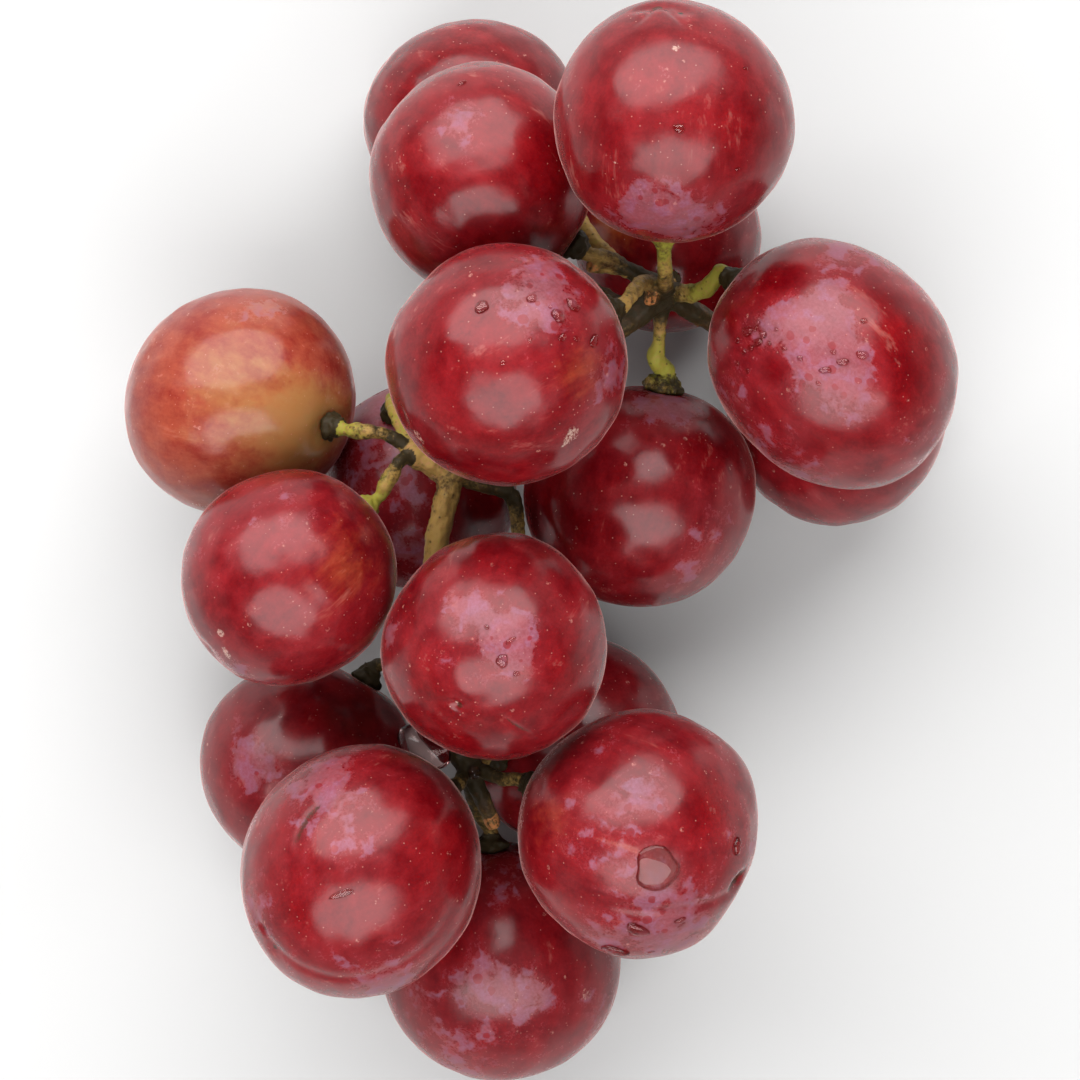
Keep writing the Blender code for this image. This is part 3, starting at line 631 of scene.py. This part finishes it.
def dropShape(look, row, seed):
    # place = skin(way) + height * way; way = centre + rho * (a cos turn, b sin turn) / radius, with a wavy outline;
    # height = top * (1 - rho^2)^fullness above the skin, and a shallow bowl below it
    x, y, long, wide, top, turnDegrees = row
    centre = unit(seenFromAbove(x, y))
    across = unit(np.array([1.0, 0.0, 0.0]) - centre * centre[0])
    upward = np.cross(centre, across)
    tilt, turn = ringAngles(dropLook["rings"], dropLook["columns"])
    starts = np.random.default_rng(seed).uniform(0, 2 * math.pi, 3)
    outline = sum((share * np.sin(count * turn + start)
                   for (count, share), start in zip(dropLook["outline"], starts)), 1.0)
    rho = withPoles(0.0, np.sin(tilt) * outline, 0.0)
    spin = withPoles(0.0, np.tile(turn, dropLook["rings"]), 0.0)
    dome = top * np.maximum(np.cos(tilt), 0.0) ** (2 * dropLook["fullness"])
    lift = np.where(tilt < math.pi / 2, dome, dropLook["underside"] * np.cos(tilt)) * np.ones(len(turn))
    lift = withPoles(top, lift, -dropLook["underside"])
    right, up = turned(long * rho * np.cos(spin), wide * rho * np.sin(spin), turnDegrees)
    ways = unit(centre + (right[:, None] * across + up[:, None] * upward) / look["half"][0])
    return look["middle"] + berrySkin(look, ways) + ways * lift[:, None]


def beadShape(row):
    # place = middle + (long sin tilt cos turn, wide sin tilt sin turn, tall cos tilt), turned about the upright
    x, y, z, long, wide, tall, turnDegrees = row
    upright, along, beside = unitBall(dropLook["rings"], dropLook["columns"]).T
    return np.column_stack([*turned(along * long, beside * wide, turnDegrees), upright * tall]) + (x, y, z)


def makeDrops():
    material, tree, shader = newMaterial("water", waterPlain)
    # painted colour: pink where the red skin is seen through the water, dark red at the edge as a ring of painted
    # shade
    share = rise(tree, attribute(tree, "rimShadeLevel"), *dropLook["rimShadeLevels"])
    tree.links.new(tint(tree, share, dropLook["clear"], dropLook["rimShade"]), shader.inputs["Base Color"])
    grid = closedGrid(dropLook["rings"], dropLook["columns"])
    tilt, turn = ringAngles(dropLook["rings"], dropLook["columns"])
    # 0 at the top of a drop and 1 round its edge, less on the beads: where the painted dark red ring of shade goes
    rimShade = withPoles(0.0, np.sin(tilt) ** 3 * np.ones(len(turn)), 0.0)
    rows = [(look, row) for look in berries.values() for row in look["drops"]]
    shapes = [dropShape(look, row, index * len(rimShade) + 1) for index, (look, row) in enumerate(rows)]
    shapes += [beadShape(row) for row in beads]
    rims = [rimShade] * len(rows) + [rimShade * dropLook["beadRimShade"]] * len(beads)
    faces = [tuple(corner + index * len(rimShade) for corner in face) for index in range(len(shapes)) for face in grid]
    piece = newPiece("water_drops", np.vstack(shapes) * mm, faces, material)
    setValues(piece.data, "rimShadeLevel", np.concatenate(rims))
    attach(piece, "root")
    print("drops ready")


makeDrops()


# Stem: tubes along the CAD stem's own paths, welded into one skin, then roughened

barkLook = {"bark": (0.045, 0.022, 0.009), "straw": (0.275, 0.165, 0.045), "green": (0.215, 0.195, 0.026),
            "dark": (0.024, 0.016, 0.006), "tan": (0.29, 0.145, 0.055), "scar": (0.37, 0.14, 0.045)}
barkPlain = {"IOR": 1.45, "Specular IOR Level": 0.15, "Subsurface Weight": 0.08, "Subsurface Scale": 0.001}
# noises as in bloom, mottling and grit in cells per metre; bump: (strength, depth in mm)
barkMix = {"fibres": (1.0, 4.0, 0.65), "mottling": (520.0, 4.0, 0.65, 0.4), "grit": (2300.0, 3.0, 0.7),
           "strawLevels": (0.8, 1.2), "greenLevels": (1.25, 1.7), "tanLevels": (0.50, 0.64),
           "darkLevels": (0.88, 1.24), "scarLevels": (0.92, 1.06), "dotCover": 0.7,
           "dots": {"Scale": 1500.0, "Size": 0.3, "Share": 0.3}, "bump": (0.6, 0.12)}


def makeBark():
    material, tree, shader = newMaterial("stem_bark", barkPlain)
    point = addNode(tree, "ShaderNodeTexCoord").outputs["Object"]
    fibres = noise(tree, attribute(tree, "fibrePoint", "Vector"), *barkMix["fibres"])
    mottling, grit = (noise(tree, point, *barkMix[name]) for name in ("mottling", "grit"))
    fresh = weighted(tree, (attribute(tree, "freshLevel"), 1.0), (mottling, 1.0), (fibres, 0.7))
    colour = tint(tree, rise(tree, fresh, *barkMix["strawLevels"]), barkLook["bark"], barkLook["straw"])
    colour = tint(tree, rise(tree, fresh, *barkMix["greenLevels"]), colour, barkLook["green"])
    flakes = calc(tree, "MULTIPLY", rise(tree, grit, *barkMix["tanLevels"]), attribute(tree, "tanLevel"))
    colour = tint(tree, flakes, colour, barkLook["tan"])
    shade = weighted(tree, (attribute(tree, "darkLevel"), 1.0), (mottling, 0.8), (grit, 0.7))
    colour = tint(tree, rise(tree, shade, *barkMix["darkLevels"]), colour, barkLook["dark"])
    dots = useGroup(tree, specks, {"Point": point, **barkMix["dots"]})["Dots"]
    colour = cover(tree, colour, dots, barkMix["dotCover"], barkLook["dark"])
    scars = calc(tree, "MULTIPLY", attribute(tree, "scarLevel"), calc(tree, "ADD", mottling, grit))
    colour = tint(tree, rise(tree, scars, *barkMix["scarLevels"]), colour, barkLook["scar"])
    tree.links.new(colour, shader.inputs["Base Color"])
    roughness = calc(tree, "ADD", calc(tree, "MULTIPLY", mottling, 0.35), 0.35)
    tree.links.new(roughness, shader.inputs["Roughness"])
    addBump(tree, shader, weighted(tree, (fibres, 1.0), (grit, 0.5)), *barkMix["bump"])
    return material


# points: places along the limb with the radius last, in mm. fresh, dark: how green and how nearly black it is, in
# any number of values from its start to its end. tan: how flaky. scar: how pale the broken end is.
# flare: how wide the warty end at the berry is, and black: how dark
upperKnot, middleKnot, sideKnot = (14.4, 28.9, 30.0), (-9.6, 8.3, 30.0), (-13.6, 10.7, 31.0)
forkKnot, lowerKnot = (-2.8, 6.4, 27.9), (-7.8, -24.4, 26.0)
plainLimb = {"dark": (0.0, 0.0), "tan": 0.4, "scar": 0.0, "flare": 1.0, "black": 0.6}
limbs = {
    "cutStalk": {
        "points": [(1.6, 30.6, 23.4, 2.3), (2.6, 29.9, 24.2, 2.0), (6.6, 27.8, 27.4, 1.9), (10.6, 26.0, 30.0, 1.7)],
        "fresh": (0.1, 0.15, -0.1), "dark": (0.1, 0.2, 0.3), "tan": 0.3},
    "upperStalk": {
        "points": [(15.2, 29.6, 30.0, 1.5), (*upperKnot, 1.9), (11.2, 26.4, 30.2, 1.7), (6.2, 22.6, 30.3, 1.6),
            (-1.5, 15.4, 30.2, 1.5), (*middleKnot, 1.7), (-10.8, 7.0, 29.9, 1.3)], "fresh": (-0.1, 0.0, 0.1, 0.15),
        "dark": (0.5, 0.35, 0.15), "tan": 0.5},
    "sideBranch": {
        "points": [(*middleKnot, 1.4), (-11.6, 9.6, 30.6, 1.6), (*sideKnot, 1.6), (-15.0, 11.2, 31.1, 1.1)],
        "fresh": (0.15, 0.35, 0.3), "tan": 1.0},
    "lowerStalk": {
        "points": [(*middleKnot, 1.4), (-10.0, 5.8, 30.0, 1.4), (-11.2, 0.3, 29.5, 1.3), (-12.0, -8.0, 28.0, 1.2),
            (-11.2, -16.5, 27.2, 1.3), (*lowerKnot, 1.5), (-7.0, -25.4, 25.6, 1.1)],
        "fresh": (0.1, 0.35, 0.4, 0.2, -0.1), "dark": (0.35, 0.0, 0.0, 0.2, 0.5), "tan": 0.4},
    "fork": {
        "points": [(*middleKnot, 1.1), (-5.8, 7.3, 28.6, 1.1), (*forkKnot, 1.1)], "fresh": (0.1, 0.15),
        "dark": (0.35, 0.35), "tan": 0.3},
    "upperStub": {
        "points": [(*upperKnot, 1.1), (13.3, 28.1, 32.0, 1.0), (12.6, 27.8, 33.4, 0.85)], "fresh": (0.0, 0.1),
        "dark": (0.4, 0.2), "scar": 1.0},
    "branchStub": {
        "points": [(9.2, 31.5, 29.8, 1.0), (7.4, 31.6, 31.0, 0.9), (5.9, 31.5, 32.0, 0.85)], "fresh": (0.2, 0.2),
        "scar": 1.0},
    "lowerStub": {
        "points": [(*lowerKnot, 1.1), (-6.2, -28.3, 25.0, 1.0), (-4.8, -31.6, 23.4, 0.9)], "fresh": (0.0, 0.1),
        "dark": (0.5, 0.2), "scar": 1.0},
}
stalks = {
    "berry_01": {
        "points": [(*upperKnot, 1.2), (14.3, 29.3, 34.0, 0.95), (14.1, 30.6, 39.0, 0.85)],
        "fresh": (-0.1, 0.4, 1.0, 1.1), "dark": (0.4, 0.2, 0.0), "black": 0.1},
    "berry_02": {
        "points": [(*upperKnot, 1.2), (10.6, 31.0, 30.2, 1.0), (7.6, 32.4, 31.8, 0.95)], "fresh": (0.0, 0.2, 0.1),
        "dark": (0.3, 0.1, 0.4)},
    "berry_03": {
        "points": [(10.2, 31.0, 30.2, 0.8), (6.6, 34.6, 26.4, 0.85), (4.6, 38.4, 21.0, 0.8)], "fresh": (0.3, 0.8)},
    "berry_04": {
        "points": [(*upperKnot, 1.2), (12.4, 29.4, 34.0, 0.95), (11.2, 28.8, 40.0, 0.85)], "fresh": (0.0, 0.4, 0.9),
        "dark": (0.3, 0.2, 0.0)},
    "berry_05": {
        "points": [(*upperKnot, 1.1), (16.8, 28.4, 31.8, 1.05), (19.0, 28.9, 34.2, 1.0)],
        "fresh": (0.2, 0.9, 1.0, 0.7), "dark": (0.2, 0.05, 0.1), "flare": 0.8, "black": 0.8},
    "berry_06": {
        "points": [(*upperKnot, 1.3), (17.2, 26.9, 27.9, 1.25), (20.4, 25.0, 26.2, 1.1)], "fresh": (-0.1, 0.1),
        "dark": (0.4, 0.2), "tan": 0.8},
    "berry_07": {
        "points": [(*upperKnot, 1.1), (14.0, 26.0, 28.2, 0.85), (13.8, 23.2, 26.4, 0.75), (13.5, 21.4, 25.2, 1.1)],
        "fresh": (-0.1, 0.4, 0.9, 1.1, 1.0, 0.2), "dark": (0.45, 0.05, -0.1, 0.0), "flare": 1.25, "black": 0.45},
    "berry_08": {
        "points": [(*sideKnot, 1.0), (-16.9, 12.7, 31.9, 0.75), (-19.4, 13.0, 31.9, 0.95)],
        "fresh": (0.0, 0.5, 1.1, 1.1), "dark": (0.6, 0.25, 0.05, 0.0), "tan": 0.6, "flare": 0.85, "black": 0.8},
    "berry_09": {
        "points": [(*sideKnot, 1.0), (-15.1, 9.7, 32.6, 0.75), (-16.6, 7.4, 33.6, 0.95)],
        "fresh": (-0.1, 0.55, 1.1, 1.1), "dark": (0.6, 0.3, 0.05, -0.1), "flare": 0.7, "black": 0.1},
    "berry_10": {
        "points": [(*sideKnot, 1.0), (-15.0, 13.2, 28.2, 0.8), (-16.2, 15.8, 24.6, 0.8)], "fresh": (0.6, 0.8),
        "tan": 0.8},
    "berry_11": {
        "points": [(*forkKnot, 1.0), (-2.3, 4.0, 27.5, 0.85), (-1.9, 1.0, 27.5, 0.8), (-0.8, -1.6, 28.2, 0.8)],
        "fresh": (0.25, 0.3), "dark": (0.3, 0.3)},
    "berry_12": {
        "points": [(-11.5, -14.8, 27.4, 1.0), (-13.2, -14.6, 20.4, 0.8), (-16.0, -13.6, 14.6, 0.8)],
        "fresh": (0.2, 0.3), "dark": (0.3, 0.6)},
    "berry_13": {
        "points": [(*lowerKnot, 1.0), (-8.3, -25.6, 26.9, 0.85)], "fresh": (0.1, 0.5), "dark": (0.3, 0.1)},
    "berry_14": {
        "points": [(*upperKnot, 1.2), (14.8, 28.6, 26.4, 0.85)], "fresh": (0.0, 0.2), "flare": 0.6},
    "berry_15": {
        "points": [(*lowerKnot, 1.0), (-5.8, -25.3, 26.8, 0.85), (-3.7, -26.0, 28.3, 0.8)], "fresh": (0.0, 0.5),
        "dark": (0.4, 0.2)},
    "berry_16": {
        "points": [(*lowerKnot, 1.0), (-6.8, -23.8, 23.9, 0.8)], "fresh": (0.2, 0.4)},
    "berry_17": {
        "points": [(*lowerKnot, 1.1), (-7.5, -27.2, 23.4, 0.85), (-6.6, -30.4, 19.4, 0.8)], "fresh": (0.1, 0.4),
        "dark": (0.5, 0.2)},
}
# the flared end of a stalk: (height over the seat, radius), and how many spans of it are warty
collar = {"rows": [(2.1, 0.8), (1.4, 1.05), (0.85, 1.45), (0.4, 1.75), (-0.1, 1.9), (-0.5, 1.3)], "steps": 4,
          "least": 0.7, "wartySpans": 4}
# (x, y, z, reach, amount)
darkKnots = [(*upperKnot, 3.2, 0.45), (*forkKnot, 2.5, 0.3), (*lowerKnot, 3.0, 0.45), (10.0, 31.2, 30.0, 2.0, 0.3)]
# swells, waves, warts: (height in mm, seed, length in mm)
stemMake = {"stepsPerSpan": 8, "columns": 20, "cell": 0.2, "fillets": 6, "swells": (0.05, 5, 2.2),
            "waves": (0.03, 6, 0.9), "warts": (0.13, 7, 1.0), "wartFloor": -0.3, "scarFrom": 0.8, "radiusShare": 0.6,
            "chunks": 60, "fibresAcross": 1.6, "fibresAlong": 0.35}


def smoothPath(points, steps):
    # Catmull-Rom: half of (2 start + (end - before) t + bend t^2 + swing t^3) between each two points
    rows = np.array(points, float)
    rows = np.vstack([2 * rows[0] - rows[1], rows, 2 * rows[-1] - rows[-2]])
    part = np.arange(steps)[:, None] / steps
    before, start, end, after = (rows[k:len(rows) - 3 + k][:, None] for k in range(4))
    bend = 2 * before - 5 * start + 4 * end - after
    swing = 3 * start - before - 3 * end + after
    path = 0.5 * (2 * start + (end - before) * part + bend * part ** 2 + swing * part ** 3)
    return np.vstack([path.reshape(-1, rows.shape[1]), rows[-2]])


def pathFrame(path):
    ahead = unit(np.gradient(path[:, :3], axis=0))
    side = unit(np.cross(ahead, np.eye(3)[np.argmin(np.abs(ahead).max(0))]))
    return ahead, side, np.cross(side, ahead)


def tubePoints(path, columns):
    # ring = middle + radius * (cos turn * side + sin turn * up), with a pole at both ends
    ahead, side, up = pathFrame(path)
    turn = np.arange(columns)[None, :, None] * 2 * math.pi / columns
    ring = path[:, None, :3] + path[:, None, 3:] * (np.cos(turn) * side[:, None] + np.sin(turn) * up[:, None])
    return np.vstack([path[0, :3], ring.reshape(-1, 3), path[-1, :3]])


def spread(values, part):
    return np.interp(part, np.linspace(0, 1, len(values)), values)


def limbPath(name, limb):
    # the path with its radius, and its finish: fresh, dark, tan, scar and warty
    seat = []
    if name in berries:
        look = berries[name]
        stalkWay = berryFrame(look)[0]
        spot = np.array(look["middle"]) + plainOval(look, stalkWay[None])[0]
        seat = [(*(spot + stalkWay * height), max(collar["least"], radius * limb["flare"]))
                for height, radius in collar["rows"]]
    path = smoothPath(limb["points"] + seat[:1], stemMake["stepsPerSpan"])
    warty = np.zeros(len(path))
    if seat:
        path = np.vstack([path[:-1], smoothPath(seat, collar["steps"])])
        warty = (np.arange(len(path)) > len(path) - collar["wartySpans"] * collar["steps"]) * 1.0
    part = np.linspace(0.0, 1.0, len(path))
    dark = spread(limb["dark"], part) + limb["black"] * warty
    scar = limb["scar"] * (part > stemMake["scarFrom"])
    return path, np.column_stack([spread(limb["fresh"], part), dark, np.full(len(path), limb["tan"]), scar, warty])


def weldTubes(paths, material):
    # one skin round all tubes
    points, faces, count = [], [], 0
    for path in paths:
        points.append(tubePoints(path, stemMake["columns"]))
        faces += [tuple(corner + count for corner in face) for face in closedGrid(len(path), stemMake["columns"])]
        count += len(points[-1])
    rough = newPiece("stem_tubes", np.vstack(points) * mm, faces, material)
    weld = rough.modifiers.new("weld", "REMESH")
    weld.mode = "VOXEL"
    weld.voxel_size = stemMake["cell"] * mm
    rough.modifiers.new("fillets", "SMOOTH").iterations = stemMake["fillets"]
    bpy.context.view_layer.update()
    mesh = bpy.data.meshes.new_from_object(rough.evaluated_get(bpy.context.evaluated_depsgraph_get()))
    mesh.name = "stem_bark"
    bpy.data.objects.remove(rough)
    return mesh


def makeStem(material):
    paths, finish = zip(*(limbPath(name, {**plainLimb, **limb}) for name, limb in {**limbs, **stalks}.items()))
    mesh = weldTubes(paths, material)
    place = np.zeros(len(mesh.vertices) * 3)
    mesh.vertices.foreach_get("co", place)
    outward = np.zeros(len(mesh.vertices) * 3, np.float32)
    mesh.vertex_normals.foreach_get("vector", outward)
    place, outward = place.reshape(-1, 3) / mm, outward.reshape(-1, 3)
    # a corner takes its finish from the spot of a path with the least distance - radiusShare * radius
    spots = np.vstack(paths)
    nearest = np.concatenate([
        np.argmin(np.linalg.norm(part[:, None] - spots[None, :, :3], axis=2)
                  - stemMake["radiusShare"] * spots[:, 3], axis=1)
        for part in np.array_split(place, stemMake["chunks"])])
    fresh, dark, tan, scar, warty = np.vstack(finish)[nearest].T
    # fibres: (off . side, off . up) across the limb, and path length + off . ahead along it
    ahead, side, up = (np.vstack(ways)[nearest] for ways in zip(*map(pathFrame, paths)))
    along = np.concatenate([np.append(0.0, np.cumsum(np.linalg.norm(np.diff(path[:, :3], axis=0), axis=1)))
                            for path in paths])[nearest]
    off = place - spots[nearest, :3]
    fibre = [(off * side).sum(1) * stemMake["fibresAcross"], (off * up).sum(1) * stemMake["fibresAcross"],
             (along + (off * ahead).sum(1)) * stemMake["fibresAlong"]]
    swells, waves, warts = (stemMake[kind] for kind in ("swells", "waves", "warts"))
    height = swells[0] * ripple(place, *swells[1:]) + waves[0] * ripple(place, *waves[1:])
    height += warts[0] * warty * np.maximum(ripple(place, *warts[1:]), stemMake["wartFloor"])
    place += outward * height[:, None]
    mesh.vertices.foreach_set("co", (place * mm).astype(np.float32).ravel())
    mesh.update()
    mesh.shade_smooth()
    mesh.materials.clear()
    mesh.materials.append(material)
    stem = newObject("stem_bark", mesh)
    for x, y, z, reach, amount in darkKnots:
        dark = dark + amount * np.exp(-(np.linalg.norm(place - (x, y, z), axis=1) / reach) ** 2)
    levels = {"freshLevel": fresh, "darkLevel": dark * (1 - scar), "tanLevel": tan, "scarLevel": scar}
    setValues(mesh, "fibrePoint", np.column_stack(fibre))
    for name, level in levels.items():
        setValues(mesh, name, level)
    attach(stem, "root")
    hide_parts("stem")
    print("stem ready:", len(mesh.polygons), "faces")


makeStem(makeBark())
